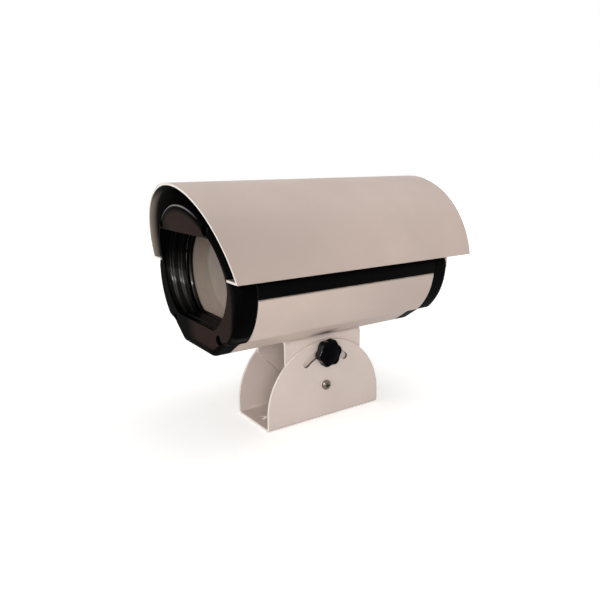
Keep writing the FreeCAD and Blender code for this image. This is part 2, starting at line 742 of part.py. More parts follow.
def camera_screw():
    """A thumb screw from below: a coin-slotted disc, a shoulder in the tray's slot, a thread relief
    and the camera's thread."""
    r, h, b = THUMB_R, THUMB, THUMB_BEVEL
    head = turned([(0, -h), (r - b, -h), (r, b - h), (r, -b), (r - b, 0), (0, 0)])
    coin = box(-FAR, FAR, -b, b, -FAR, 2 * b - h)
    shoulder = rod_z(CAMERA_SCREW_R + SHOULDER_STEP, 0, 0, -PAST, SLED_SHEET)
    shank = rod_z(CAMERA_SCREW_R, 0, 0, 0, SLED_SHEET + CAMERA_SCREW_REACH)
    relief = washer(CAMERA_SCREW_R - THREAD_RELIEF_DEPTH, FAR, THREAD_RELIEF).translated(v(0, 0, SLED_SHEET))
    return fuse([cut(head, [coin]), shoulder, cut(shank, [relief])]).translated(v(0, 0, SLED_Z))


# Brackets

def ear_outline():
    """Side view of an ear: upright sides and a half-round top."""
    r, z = EAR_R, EAR_CENTRE_Z
    edges = [line(v(0, -r, 0), v(0, r, 0)), line(v(0, r, 0), v(0, r, z)), line(v(0, -r, z), v(0, -r, 0))]
    edges.append(arc(v(0, r, z), v(0, 0, z + r), v(0, -r, z)))
    return across_x(face(edges), -FAR, FAR)


def bend(solid, x, z, radius):
    """Rounds the long edges of a folded sheet that run along Y at (x, z) and its mirror."""
    chosen = []
    for edge in solid.Edges:
        a, b = edge.Vertexes[0].Point, edge.Vertexes[-1].Point
        if abs(a.y - b.y) > 1 and abs(abs(a.x) - x) < 0.01 and abs(a.z - z) < 0.01 and abs(b.z - z) < 0.01:
            chosen.append(edge)
    return solid.makeFillet(radius, chosen)


def arc_slot(radius, half_width, half_angle):
    """A round-ended slot along an arc about the pivot, through both ears."""
    def at(r, degrees):
        return v(0, r * math.sin(math.radians(degrees)), PIVOT_Z + r * math.cos(math.radians(degrees)))

    inner, outer = radius - half_width, radius + half_width
    tip = half_angle + math.degrees(half_width / radius)
    edges = [arc(at(outer, -half_angle), at(outer, 0), at(outer, half_angle))]
    edges.append(arc(at(outer, half_angle), at(radius, tip), at(inner, half_angle)))
    edges.append(arc(at(inner, half_angle), at(inner, 0), at(inner, -half_angle)))
    edges.append(arc(at(inner, -half_angle), at(radius, -tip), at(outer, -half_angle)))
    return across_x(face(edges), -FAR, FAR)


def base_bracket():
    w = BASE_HALF_WIDTH
    sheet = box(-w, w, -EAR_R, EAR_R, 0, EAR_CENTRE_Z + EAR_R + PAST)
    sheet = sheet.cut(box(SHEET - w, w - SHEET, -FAR, FAR, SHEET, FAR))
    sheet = bend(bend(sheet, w, 0, BEND_R + SHEET), w - SHEET, SHEET, BEND_R)
    sheet = sheet.common(ear_outline())
    tools = [arc_slot(SLOT_R, CLAMP_R + SLOT_PLAY, TILT_LIMIT)]
    tools.append(rod_x(PIVOT_R + PIVOT_PLAY, 0, PIVOT_Z, -FAR, FAR))
    tools += [rod_z(BASE_HOLE_R, 0, s * BASE_HOLE_PITCH / 2, -PAST, SHEET + PAST) for s in (1, -1)]
    return cut(sheet, tools)


PLATE_OUT = BASE_HALF_WIDTH - SHEET - EAR_GAP
PLATE_IN = PLATE_OUT - SHEET
CLAMP_Z = PIVOT_Z + SLOT_R
HEAD_X = BASE_HALF_WIDTH + RUN_GAP
KNOB_X = HEAD_X + WASHER + RUN_GAP


def toe_outline():
    """Side view of the tilt bracket: square under the body, tapering to a round toe at the pivot."""
    y, z = TILT_HALF_LENGTH, UNDERSIDE_Z - TILT_SKIRT
    reach = math.hypot(y, z - PIVOT_Z)
    angle = math.atan2(z - PIVOT_Z, y) - math.acos(TILT_TOE_R / reach)
    ty, tz = TILT_TOE_R * math.cos(angle), PIVOT_Z + TILT_TOE_R * math.sin(angle)
    edges = [line(v(0, -y, UNDERSIDE_Z), v(0, y, UNDERSIDE_Z))]
    for s in (1, -1):
        edges += [line(v(0, s * y, UNDERSIDE_Z), v(0, s * y, z)), line(v(0, s * y, z), v(0, s * ty, tz))]
    edges.append(arc(v(0, ty, tz), v(0, 0, PIVOT_Z - TILT_TOE_R), v(0, -ty, tz)))
    return across_x(face(edges), -FAR, FAR)


def tilt_bracket():
    w, y1 = PLATE_OUT, TILT_HALF_LENGTH
    sheet = box(-w, w, -y1, y1, 0, UNDERSIDE_Z)
    sheet = sheet.cut(box(-PLATE_IN, PLATE_IN, -FAR, FAR, -FAR, UNDERSIDE_Z - SHEET))
    sheet = bend(bend(sheet, w, UNDERSIDE_Z, BEND_R + SHEET), PLATE_IN, UNDERSIDE_Z - SHEET, BEND_R)
    sheet = sheet.common(toe_outline())
    tools = [rod_x(PIVOT_R + PIVOT_PLAY, 0, PIVOT_Z, -FAR, FAR)]
    tools.append(rod_x(CLAMP_R + CLAMP_PLAY, 0, CLAMP_Z, -FAR, FAR))
    tools += [rod_z(BRACKET_SCREW_R + HOLE_PLAY, x, y, 0, FAR) for x, y in bracket_screw_points()]
    return cut(sheet, tools)


def bracket_screws():
    screw = pan_screw(BRACKET_SCREW_R, SHEET + BRACKET_BOSS)
    return [placed(screw, v(x, y, UNDERSIDE_Z - SHEET), v(0, 0, -1)) for x, y in bracket_screw_points()]


def pivot_screws():
    screw = pan_screw(PIVOT_R, HEAD_X - PLATE_IN + PIVOT_NUT + PAST)
    return [placed(screw, v(s * HEAD_X, 0, PIVOT_Z), v(s, 0, 0)) for s in (1, -1)]


def pivot_nuts():
    body = nut(PIVOT_NUT_FLAT, PIVOT_NUT, PIVOT_R + PILOT_PLAY / 2)
    return [placed(body, v(s * PLATE_IN, 0, PIVOT_Z), v(-s, 0, 0)) for s in (1, -1)]


def clamp_washers():
    body = washer(CLAMP_R + CLAMP_PLAY, WASHER_R, WASHER)
    return [placed(body, v(s * HEAD_X, 0, CLAMP_Z), v(s, 0, 0)) for s in (1, -1)]


def clamp_bolt():
    start = -HEAD_X - WASHER
    head = placed(hexagon_head(CLAMP_HEAD_FLAT, CLAMP_HEAD), v(start, 0, CLAMP_Z), v(-1, 0, 0))
    return fuse([head, rod_x(CLAMP_R, 0, CLAMP_Z, start - PAST, KNOB_X + KNOB_BUSH - PAST)])


# Star knob

def knob_outline():
    """Round lobes joined by round hollows, all tangent."""
    lobe, hollow = KNOB_R * LOBE_SHARE, KNOB_R * HOLLOW_SHARE
    ring = KNOB_R - lobe
    half = math.pi / KNOB_LOBES
    out = ring * math.cos(half) + math.sqrt((lobe + hollow) ** 2 - (ring * math.sin(half)) ** 2)

    def polar(r, angle):
        return v(r * math.cos(angle), r * math.sin(angle), 0)

    edges = []
    for i in range(KNOB_LOBES):
        middle = 2 * half * i
        share = lobe / (lobe + hollow)
        after = polar(ring, middle) + (polar(out, middle + half) - polar(ring, middle)) * share
        before = polar(ring, middle) + (polar(out, middle - half) - polar(ring, middle)) * share
        following = polar(ring, middle + 2 * half)
        following = following + (polar(out, middle + half) - following) * share
        edges.append(arc(before, polar(KNOB_R, middle), after))
        edges.append(arc(after, polar(out - hollow, middle + half), following))
    return face(edges)


def lock_knob():
    body = extrude(knob_outline(), v(0, 0, KNOB_HEIGHT)).translated(v(0, 0, KNOB_HUB))
    top = KNOB_HUB + KNOB_HEIGHT
    rim = [e for e in body.Edges if all(abs(p.Point.z - top) < 0.01 for p in e.Vertexes)]
    hub = rod_z(KNOB_HUB_R, 0, 0, 0, KNOB_HUB + PAST)
    rise = [v(0, 0, top + CROWN), v(0, 0, top - PAST), v(CROWN_R, 0, top - PAST), v(CROWN_R, 0, top)]
    edges = [line(a, b) for a, b in zip(rise, rise[1:])]
    crown = revolved(face(edges + [crown_arc(CROWN_R, top, top + CROWN)]))
    body = fuse([body.makeFillet(KNOB_EDGE, rim), hub, crown])
    body = cut(body, [rod_z(KNOB_BUSH_R, 0, 0, -PAST, KNOB_BUSH)])
    return body.rotated(v(0, 0, 0), v(0, 0, 1), KNOB_TURN)


def knob_bush():
    body = rod_z(KNOB_BUSH_R, 0, 0, PILOT_PLAY, KNOB_BUSH)
    groove = washer(KNOB_BUSH_R - BUSH_GROOVE_DEPTH, FAR, BUSH_GROOVE).translated(v(0, 0, KNOB_BUSH / 2))
    return cut(body, [groove, rod_z(CLAMP_R + PIVOT_PLAY, 0, 0, 0, KNOB_BUSH - BUSH_GROOVE_DEPTH)])


def on_clamp(shape):
    return placed(shape, v(KNOB_X, 0, CLAMP_Z), v(1, 0, 0))


write("base_bracket", base_bracket())
write("tilt_bracket", tilt_bracket())
group("bracket_screws", bracket_screws())
group("pivot_screws", pivot_screws())
group("pivot_nuts", pivot_nuts())
write("clamp_bolt", clamp_bolt())
group("clamp_washers", clamp_washers())
write("lock_knob", on_clamp(lock_knob()))
write("knob_bush", on_clamp(knob_bush()))
write("lower_shell", lower_shell())
write("upper_shell", upper_shell())
write("side_gaskets", side_gaskets())
write("front_gasket", end_gasket(SEAM_FRONT_Y))
write("rear_gasket", end_gasket(SEAM_REAR_Y - GASKET))
write("front_bezel", front_bezel())
group("bezel_screws", bezel_screws())
write("window_gasket", window_gasket())
write("window_glass", window_glass())
write("glass_retainer", glass_retainer())
group("retainer_screws", retainer_screws())
write("rear_cap", rear_cap())
group("rear_screws", rear_screws())
group("gland_bodies", on_glands(gland_body()))
group("gland_seals", on_glands(gland_seal()))
group("gland_nuts", on_glands(gland_nut()))
group("gland_locknuts", on_glands(gland_locknut()))
write("sunshield", sunshield())
group("shield_screws", shield_screws())
write("camera_sled", camera_sled())
group("sled_screws", sled_screws())
write("camera_screw", camera_screw())
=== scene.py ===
import math

import bpy
from mathutils import Matrix, Vector


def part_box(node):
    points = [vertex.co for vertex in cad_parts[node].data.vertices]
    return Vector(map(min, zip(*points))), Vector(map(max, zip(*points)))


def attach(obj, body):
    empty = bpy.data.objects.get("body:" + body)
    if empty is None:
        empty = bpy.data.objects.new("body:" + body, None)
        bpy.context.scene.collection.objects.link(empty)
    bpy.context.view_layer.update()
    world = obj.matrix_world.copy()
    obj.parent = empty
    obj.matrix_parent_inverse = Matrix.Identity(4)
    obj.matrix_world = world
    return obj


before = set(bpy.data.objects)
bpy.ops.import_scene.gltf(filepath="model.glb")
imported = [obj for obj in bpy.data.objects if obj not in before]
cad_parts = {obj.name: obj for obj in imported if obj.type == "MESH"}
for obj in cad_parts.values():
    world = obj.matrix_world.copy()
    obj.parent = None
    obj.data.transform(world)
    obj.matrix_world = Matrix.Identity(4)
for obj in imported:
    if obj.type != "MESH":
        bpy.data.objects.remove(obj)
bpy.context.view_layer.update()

# Looks for an outdoor camera housing on its tilt bracket.
# Metres, in the solids' frame: X across, -Y the window end, +Z up, the mounting plane at z = 0.

MM = 0.001


def colour(code, share=1.0):
    """An sRGB hex colour as the linear values a shader takes, made darker or lighter by a share."""
    parts = [int(code[i:i + 2], 16) / 255 for i in (1, 3, 5)]
    linear = [p / 12.92 if p <= 0.04045 else ((p + 0.055) / 1.055) ** 2.4 for p in parts]
    return [min(1.0, c * share) for c in linear] + [1.0]


def add(tree, kind, inputs=None, **settings):
    """Adds a node with its settings. Each input gets its value, or a link from an output, or from the
    output that a node has in use."""
    node = tree.nodes.new(kind)
    for name, value in settings.items():
        setattr(node, name, value)
    for socket, value in (inputs or {}).items():
        if isinstance(value, bpy.types.Node):
            value = next(output for output in value.outputs if output.enabled)
        if isinstance(value, bpy.types.NodeSocket):
            tree.links.new(value, node.inputs[socket])
        else:
            node.inputs[socket].default_value = value
    return node


def new_material(name):
    """An empty node material, with its tree."""
    material = bpy.data.materials.new(name)
    material.use_nodes = True
    material.node_tree.nodes.clear()
    return material, material.node_tree


# Camera

CAMERA_AT = Vector((0.4611, -0.3169, 0.2427))
CAMERA_YAW = math.radians(56.32)
CAMERA_PITCH = math.radians(13.12)
CAMERA_ROLL = math.radians(-0.71)
FOCAL_PIXELS = 587.10
FRAME_PIXELS = 600
SENSOR_WIDTH = 36.0


def place_camera():
    """The photograph's own viewpoint, fitted to the edges of the ears, the shield and the body in it."""
    data = bpy.data.cameras.new("camera")
    data.sensor_width = SENSOR_WIDTH
    data.sensor_fit = "HORIZONTAL"
    data.lens = FOCAL_PIXELS / FRAME_PIXELS * SENSOR_WIDTH
    data.clip_start = 0.01
    data.clip_end = 50.0
    yaw, pitch, roll = CAMERA_YAW, CAMERA_PITCH, CAMERA_ROLL
    back = Vector((math.sin(yaw) * math.cos(pitch), -math.cos(yaw) * math.cos(pitch), math.sin(pitch)))
    level = Vector((math.cos(yaw), math.sin(yaw), 0.0))
    over = back.cross(level)
    right = math.cos(roll) * level + math.sin(roll) * over
    up = -math.sin(roll) * level + math.cos(roll) * over
    camera = bpy.data.objects.new("camera", data)
    camera.matrix_world = Matrix.Translation(CAMERA_AT) @ Matrix((right, up, back)).transposed().to_4x4()
    bpy.context.scene.collection.objects.link(camera)
    bpy.context.scene.camera = camera


# Light, floor and surround

AMBIENT = 0.38
FLOOR_LIFT = 0.42
FLOOR_SIZE = 12.0
SHADOW_REACH, WHITE_FROM = 0.45, 1.4
LAMPS_AIM = Vector((0, 0, 0.12))


def seen_white(tree):
    """1 on rays that show the surround itself: straight, in a gloss, or through glass."""
    path = add(tree, "ShaderNodeLightPath").outputs
    either = add(tree, "ShaderNodeMath", {0: path["Is Camera Ray"], 1: path["Is Glossy Ray"]},
                 operation="MAXIMUM")
    return add(tree, "ShaderNodeMath", {0: either, 1: path["Is Transmission Ray"]}, operation="MAXIMUM")


def make_surround():
    """A pale room: dim where it lights the part, white where it is seen."""
    world = bpy.data.worlds.new("pale_studio")
    world.use_nodes = True
    tree = world.node_tree
    tree.nodes.clear()
    strength = add(tree, "ShaderNodeMapRange",
                   {"Value": seen_white(tree), "To Min": AMBIENT, "To Max": 1.0})
    background = add(tree, "ShaderNodeBackground", {"Color": colour("#ffffff"), "Strength": strength})
    add(tree, "ShaderNodeOutputWorld", {"Surface": background})
    bpy.context.scene.world = world


def make_floor():
    """A pale matt table top that keeps the part's shadow and shows as white away from it."""
    bpy.ops.mesh.primitive_plane_add(size=FLOOR_SIZE, location=(0, 0, 0))
    floor = bpy.context.active_object
    floor.name = "floor"
    material, tree = new_material("pale_table_laminate")
    matt = add(tree, "ShaderNodeBsdfDiffuse", {"Color": colour("#f4f3f1")})
    place = add(tree, "ShaderNodeTexCoord").outputs["Object"]
    away = add(tree, "ShaderNodeVectorMath", {0: place}, operation="LENGTH")
    rise = add(tree, "ShaderNodeMapRange", {"Value": away, "From Min": SHADOW_REACH, "From Max": WHITE_FROM,
                                            "To Min": FLOOR_LIFT, "To Max": 1.0})
    glow = add(tree, "ShaderNodeMath", {0: seen_white(tree), 1: rise}, operation="MULTIPLY")
    lift = add(tree, "ShaderNodeEmission", {"Color": colour("#ffffff"), "Strength": glow})
    both = add(tree, "ShaderNodeAddShader", {0: matt, 1: lift})
    add(tree, "ShaderNodeOutputMaterial", {"Surface": both})
    floor.data.materials.append(material)


def area_lamp(name, place, size, power):
    """A soft square lamp that faces the part."""
    data = bpy.data.lights.new(name, "AREA")
    data.shape = "SQUARE"
    data.size = size
    data.energy = power
    lamp = bpy.data.objects.new(name, data)
    place = Vector(place)
    turn = (LAMPS_AIM - place).to_track_quat("-Z", "Y")
    lamp.matrix_world = Matrix.Translation(place) @ turn.to_matrix().to_4x4()
    lamp.visible_camera = False
    bpy.context.scene.collection.objects.link(lamp)
    return lamp


place_camera()
make_surround()
make_floor()
area_lamp("key_lamp", (1.2, -0.8, 0.5), 0.7, 10.0)
area_lamp("front_lamp", (0.0, -1.5, 0.45), 0.8, 5.0)
area_lamp("top_lamp", (0.2, 0.2, 1.5), 1.0, 7.5)
# The small lamp only shows in the glosses, as the gleams on the black parts
glint_lamp = area_lamp("glint_lamp", (0.95, -1.15, 0.68), 0.2, 16.0)
glint_lamp.visible_diffuse = False

bpy.context.scene.view_settings.view_transform = "Standard"


# Where on the part a finish changes. A pair of limits is the value at a zone's border and the value
# where the zone is full; those of a normal run from -1 to 1.

OUTWARDS = (-0.35, -0.15)
FACES_FRONT = (-0.85, -0.93)
FACES_BACK = (0.8, 0.98)
NOT_UPWARDS = (0.5, 0.2)


def place_on_part(tree):
    """The X, Y and Z of a point of the part."""
    point = add(tree, "ShaderNodeTexCoord").outputs["Object"]
    return add(tree, "ShaderNodeSeparateXYZ", {0: point}).outputs


def way_it_faces(tree):
    """The X, Y and Z of a surface's normal, in the part's own directions."""
    normal = add(tree, "ShaderNodeTexCoord").outputs["Normal"]
    return add(tree, "ShaderNodeSeparateXYZ", {0: normal}).outputs


def from_axis(tree, plane, axis_height):
    """The distance of a point from a level axis at a height, seen in the plane across that axis."""
    place = place_on_part(tree)
    flat = add(tree, "ShaderNodeCombineXYZ", {letter: place[letter] for letter in plane})
    return add(tree, "ShaderNodeVectorMath", {0: flat, 1: (0, 0, axis_height)}, operation="DISTANCE")


def zone(tree, *limits):
    """How far a point is inside all the limits, from 0 to 1. A limit is a measure, its value at the
    zone's border, its value where the zone is full, and the share outside where that isn't 0."""
    share = None
    for measure, border, full, *outside in limits:
        within = add(tree, "ShaderNodeMapRange", {"Value": measure, "From Min": border, "From Max": full,
                                                  "To Min": outside[0] if outside else 0.0})
        if share is None:
            share = within
        else:
            share = add(tree, "ShaderNodeMath", {0: share, 1: within}, operation="MULTIPLY")
    return share


def facing_out(tree, axis_height):
    """1 where a surface looks away from the housing's long axis or along it, 0 where it looks in at it."""
    coordinates = add(tree, "ShaderNodeTexCoord").outputs
    section = add(tree, "ShaderNodeVectorMath", {0: coordinates["Object"], 1: (1, 0, 1)},
                  operation="MULTIPLY")
    arm = add(tree, "ShaderNodeVectorMath", {0: section, 1: (0, 0, axis_height)}, operation="SUBTRACT")
    unit = add(tree, "ShaderNodeVectorMath", {0: arm}, operation="NORMALIZE")
    outward = add(tree, "ShaderNodeVectorMath", {0: unit, 1: coordinates["Normal"]},
                  operation="DOT_PRODUCT")
    return zone(tree, (outward, *OUTWARDS))


SHIELD_TONE = "#bfada3"
SHIELD_AXIS = 142 * MM
SHIELD_RAKE = 0.23
SHIELD_FRONT = (-121.3 + SHIELD_RAKE * 155.5) * MM
LIT_REACH_INSIDE = 7.5 * MM
SHIELD_CROWN = (205 * MM, 222 * MM)
SHIELD_FOREPART = (30 * MM, -118 * MM)
BELOW_CROWN = (226 * MM, 202 * MM)
ABOVE_LIPS = (150 * MM, 192 * MM)


def shield_dress(tree, tone):
    """Inside, painted shade: pale only a few millimetres past the front edge, near black deeper in and
    at the crown. The front edge carries a painted highlight. Outside, painted shade makes the sides
    darker towards the front."""
    place = place_on_part(tree)
    # Painted shade: the sides are darker towards the front
    darker_zone = zone(tree, (place["Y"], *SHIELD_FOREPART), (place["Z"], *BELOW_CROWN),
                     (place["Z"], *ABOVE_LIPS, 0.6))
    outside = add(tree, "ShaderNodeMix", {0: darker_zone, 6: tone, 7: colour(SHIELD_TONE, 0.74)},
                  data_type="RGBA")
    # Painted shade inside the shield: near black from a few millimetres past the front edge, and at the
    # crown
    raked = add(tree, "ShaderNodeMath", {0: place["Z"], 1: SHIELD_RAKE, 2: place["Y"]},
                operation="MULTIPLY_ADD")
    deep = zone(tree, (raked, SHIELD_FRONT, SHIELD_FRONT + LIT_REACH_INSIDE))
    crown = zone(tree, (place["Z"], *SHIELD_CROWN))
    painted_shade_inside = add(tree, "ShaderNodeMath", {0: deep, 1: crown}, operation="MAXIMUM")
    inside = add(tree, "ShaderNodeMix", {0: painted_shade_inside, 6: colour("#a5988d"), 7: colour("#0b0a09")},
                 data_type="RGBA")
    both = add(tree, "ShaderNodeMix", {0: facing_out(tree, SHIELD_AXIS), 6: inside, 7: outside},
               data_type="RGBA")
    # Painted highlight along the front edge
    painted_edge_highlight = zone(tree, (way_it_faces(tree)["Y"], *FACES_FRONT))
    return add(tree, "ShaderNodeMix", {0: painted_edge_highlight, 6: both, 7: colour("#e6dfd9")}, data_type="RGBA")


PIVOT_HEIGHT = 33.5 * MM
# The slot and the holes lie within this distance of the pivot, and the ears' outline beyond it
SLOT_OUTSIDE = 38 * MM
EAR_FOOT, EAR_TOP = (6 * MM, 8 * MM), (81 * MM, 80 * MM)
# The ears' faces look along X, and their cut edges across it; the cut ends of both sheets look along Y
CUT_THROUGH, CUT_ENDS = (0.3, 0.1), (0.5, 0.7)


def cut_edges(tree, tone):
    """The sheet's cut edges carry a painted highlight, paler than its faces, and the walls of the arc
    slot and the holes are painted darker as painted shade."""
    place, turn = place_on_part(tree), way_it_faces(tree)
    across = add(tree, "ShaderNodeMath", {0: turn["X"]}, operation="ABSOLUTE")
    along = add(tree, "ShaderNodeMath", {0: turn["Y"]}, operation="ABSOLUTE")
    reach = from_axis(tree, "YZ", PIVOT_HEIGHT)
    ear_wall = zone(tree, (across, *CUT_THROUGH), (place["Z"], *EAR_FOOT), (place["Z"], *EAR_TOP))
    end_wall = zone(tree, (along, *CUT_ENDS))
    wall = add(tree, "ShaderNodeMath", {0: ear_wall, 1: end_wall}, operation="MAXIMUM")
    in_slot = zone(tree, (ear_wall, 0, 1), (reach, SLOT_OUTSIDE, SLOT_OUTSIDE - 0.5 * MM))
    outline = zone(tree, (wall, 0, 1), (reach, SLOT_OUTSIDE, SLOT_OUTSIDE + 1 * MM))
    # Painted shade on the walls of the slot and the holes, and a painted highlight on the cut edges
    painted_slot_shade = add(tree, "ShaderNodeMix", {0: in_slot, 6: tone, 7: colour("#5b5149")}, data_type="RGBA")
    return add(tree, "ShaderNodeMix", {0: outline, 6: painted_slot_shade, 7: colour("#f0e8e2")}, data_type="RGBA")


SHELL_AXIS = 147 * MM


def pale_inside(tree, tone):
    """The extrusion is coated pale all over, then black outside only."""
    return add(tree, "ShaderNodeMix", {0: facing_out(tree, SHELL_AXIS), 6: colour("#cbbdb2"), 7: tone},
               data_type="RGBA")


BODY_TONE = "#c8b6ac"
SHELL_REAR_HALF = (-20 * MM, 45 * MM)
CONTACT_SHADE_FRONT, CONTACT_SHADE_REAR = (-24 * MM, -6 * MM), (13 * MM, 1 * MM)
KEEL_EDGE = (93 * MM, 87 * MM)


def shell_dress(tree, tone):
    """Painted shade: the keel's lower edge over the knob, where the bracket meets it, is painted dark as a
    contact shadow, and the rear half is painted a little darker."""
    place = place_on_part(tree)
    # Painted shade: a little darker towards the rear
    darker_zone = zone(tree, (place["Y"], *SHELL_REAR_HALF))
    darkened = add(tree, "ShaderNodeMix", {0: darker_zone, 6: tone, 7: colour(BODY_TONE, 0.87)},
                   data_type="RGBA")
    # Painted contact shadow on the keel's lower edge
    painted_contact_shade = zone(tree, (place["Y"], *CONTACT_SHADE_FRONT), (place["Y"], *CONTACT_SHADE_REAR), (place["Z"], *KEEL_EDGE),
                 (way_it_faces(tree)["Z"], *NOT_UPWARDS))
    return add(tree, "ShaderNodeMix", {0: painted_contact_shade, 6: darkened, 7: colour("#38281c")}, data_type="RGBA")


SCREW_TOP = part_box("pivot_screws")[1][0]
CROSS_DEPTH = (SCREW_TOP - 0.3 * MM, SCREW_TOP - 0.7 * MM)
CROSS_REACH = (2.7 * MM, 2.5 * MM)


def painted_shade_cross(tree, tone):
    """The pivot screws' cross recess is painted dark as painted shade."""
    height = add(tree, "ShaderNodeMath", {0: place_on_part(tree)["X"]}, operation="ABSOLUTE")
    # Painted shade in the cross recess
    deep = zone(tree, (height, *CROSS_DEPTH), (from_axis(tree, "YZ", PIVOT_HEIGHT), *CROSS_REACH))
    return add(tree, "ShaderNodeMix", {0: deep, 6: tone, 7: colour("#0c0a09")}, data_type="RGBA")


ROOF_AXIS = 135 * MM
INSIDE_RIM = (72.5 * MM, 68.5 * MM)
ABOVE_FOOT = (91 * MM, 95 * MM)
LIT_SLANT = 0.31
LIT_SIDE = (14 * MM, 34 * MM)
RIM_BEND, RIM_CREST = (-0.95, -0.92), (-0.82, -0.86)
RIM_TOP = (186 * MM, 192 * MM)
RIM_FAR_HALF = (36 * MM, 6 * MM)


def lit_face_and_rim(tree, tone):
    """The flat front face is painted lighter on its +X side, past a slanting border: painted light and
    reflection where the shield's shadow ends. The rounded rim, the sides and the other end are not.
    The rim's top carries a painted highlight along its rounding."""
    place, turn = place_on_part(tree), way_it_faces(tree)
    # Painted light on the face's +X side, past the shield's shadow
    lit_side = add(tree, "ShaderNodeMath", {0: place["Z"], 1: LIT_SLANT, 2: place["X"]},
                operation="MULTIPLY_ADD")
    painted_light_patch = zone(tree, (turn["Y"], *FACES_FRONT), (from_axis(tree, "XZ", ROOF_AXIS), *INSIDE_RIM),
                 (place["Z"], *ABOVE_FOOT), (lit_side, *LIT_SIDE))
    # Painted highlight along the top of the rim
    painted_rim_highlight = zone(tree, (turn["Y"], *RIM_BEND), (turn["Y"], *RIM_CREST), (place["Z"], *RIM_TOP),
                  (place["X"], *RIM_FAR_HALF))
    with_light_patch = add(tree, "ShaderNodeMix", {0: painted_light_patch, 6: tone, 7: colour("#2b211e")}, data_type="RGBA")
    return add(tree, "ShaderNodeMix", {0: painted_rim_highlight, 6: with_light_patch, 7: colour("#8d8885")}, data_type="RGBA")


def dust_and_light_back(tree, tone):
    """The cap's back face, out of the rain under the shield, keeps a grey film of dust in patches; the
    same grey is painted light that lifts the back face where no lamp reaches.
    """
    point = add(tree, "ShaderNodeTexCoord").outputs["Object"]
    film = add(tree, "ShaderNodeTexNoise", {"Vector": point, "Scale": 1 / (25 * MM), "Detail": 4.0})
    # Dust in patches, which also lifts the back face as painted light
    dust_and_light = zone(tree, (way_it_faces(tree)["Y"], *FACES_BACK), (film, 0.2, 0.8, 0.6))
    return add(tree, "ShaderNodeMix", {0: dust_and_light, 6: tone, 7: colour("#2e2927")}, data_type="RGBA")


BEHIND_FACE = (-118.6 * MM, -116.5 * MM)
INSIDE_WIDTH = (67.5 * MM, 66.5 * MM)
STEPS_FOOT, STEPS_TOP = (104 * MM, 106 * MM), (191 * MM, 189 * MM)
RAIN_REACH, OVER_DIRT = (165 * MM, 138 * MM), (113 * MM, 124 * MM)
EDGE_ROUND, STEP_ROUND = 0.4 * MM, 1.9 * MM


def polished_steps(tree, shader, edge):
    """The window's steps, behind the face, came from a polished core: a glossy skin and soft corners.
    They are dull at the top, where no rain washes them, and at the foot, where dirt lies."""
    place = place_on_part(tree)
    across = add(tree, "ShaderNodeMath", {0: place["X"]}, operation="ABSOLUTE")
    steps = zone(tree, (place["Y"], *BEHIND_FACE), (across, *INSIDE_WIDTH), (place["Z"], *STEPS_FOOT),
                 (place["Z"], *STEPS_TOP))
    washed = zone(tree, (steps, 0, 1), (place["Z"], *RAIN_REACH, 0.08), (place["Z"], *OVER_DIRT, 0.15))
    rounding = add(tree, "ShaderNodeMapRange", {"Value": steps, "To Min": EDGE_ROUND, "To Max": STEP_ROUND})
    tree.links.new(washed.outputs[0], shader.inputs["Coat Weight"])
    tree.links.new(edge.outputs[0], shader.inputs["Coat Normal"])
    tree.links.new(rounding.outputs[0], edge.inputs["Radius"])
    shader.inputs["Coat Roughness"].default_value = 0.12
    shader.inputs["Coat IOR"].default_value = 1.5


def handled_lobes(tree, shader, edge):
    """Fingers have polished the walls of the knob's lobes; its face keeps the mould's grain."""
    endways = add(tree, "ShaderNodeMath", {0: way_it_faces(tree)["X"]}, operation="ABSOLUTE")
    worn = add(tree, "ShaderNodeMapRange", {"Value": endways, "From Min": 0.9, "From Max": 0.5,
                                            "To Min": 0.0, "To Max": 0.6})
    tree.links.new(worn.outputs[0], shader.inputs["Coat Weight"])
    tree.links.new(edge.outputs[0], shader.inputs["Coat Normal"])
    shader.inputs["Coat Roughness"].default_value = 0.16
    shader.inputs["Coat IOR"].default_value = 1.5


# Finishes. A pattern's scale is 1 over the size of its features, in metres.

def two_tones(tree, pattern, start, full, code, darker, lighter):
    """A finish's colour, from a darker to a lighter tone of it as a pattern goes from start to full."""
    share = zone(tree, (pattern, start, full))
    return add(tree, "ShaderNodeMix", {0: share, 6: colour(code, darker), 7: colour(code, lighter)},
               data_type="RGBA")


def powder_coat(name, code, dress):
    """Polyester powder baked on aluminium or steel: a soft sheen over a fine orange peel, with a tone
    that drifts a little over a hand's width. dress changes the tone in places."""
    material, tree = new_material(name)
    place = add(tree, "ShaderNodeTexCoord").outputs["Object"]
    drift = add(tree, "ShaderNodeTexNoise",
                {"Vector": place, "Scale": 1 / (45 * MM), "Detail": 3.0, "Roughness": 0.55})
    tone = dress(tree, two_tones(tree, drift, 0.3, 0.7, code, 0.95, 1.03))
    peel = add(tree, "ShaderNodeTexNoise", {"Vector": place, "Scale": 1 / (1.6 * MM), "Detail": 2.0})
    sheen = add(tree, "ShaderNodeMapRange", {"Value": peel, "To Min": 0.40, "To Max": 0.52})
    edge = add(tree, "ShaderNodeBevel", {"Radius": 0.45 * MM}, samples=4)
    relief = add(tree, "ShaderNodeBump",
                 {"Height": peel, "Normal": edge, "Strength": 0.12, "Distance": 0.05 * MM})
    shader = add(tree, "ShaderNodeBsdfPrincipled",
                 {"Base Color": tone, "Roughness": sheen, "Normal": relief, "Metallic": 0.0, "IOR": 1.5,
                  "Specular IOR Level": 0.35})
    add(tree, "ShaderNodeOutputMaterial", {"Surface": shader})
    return material


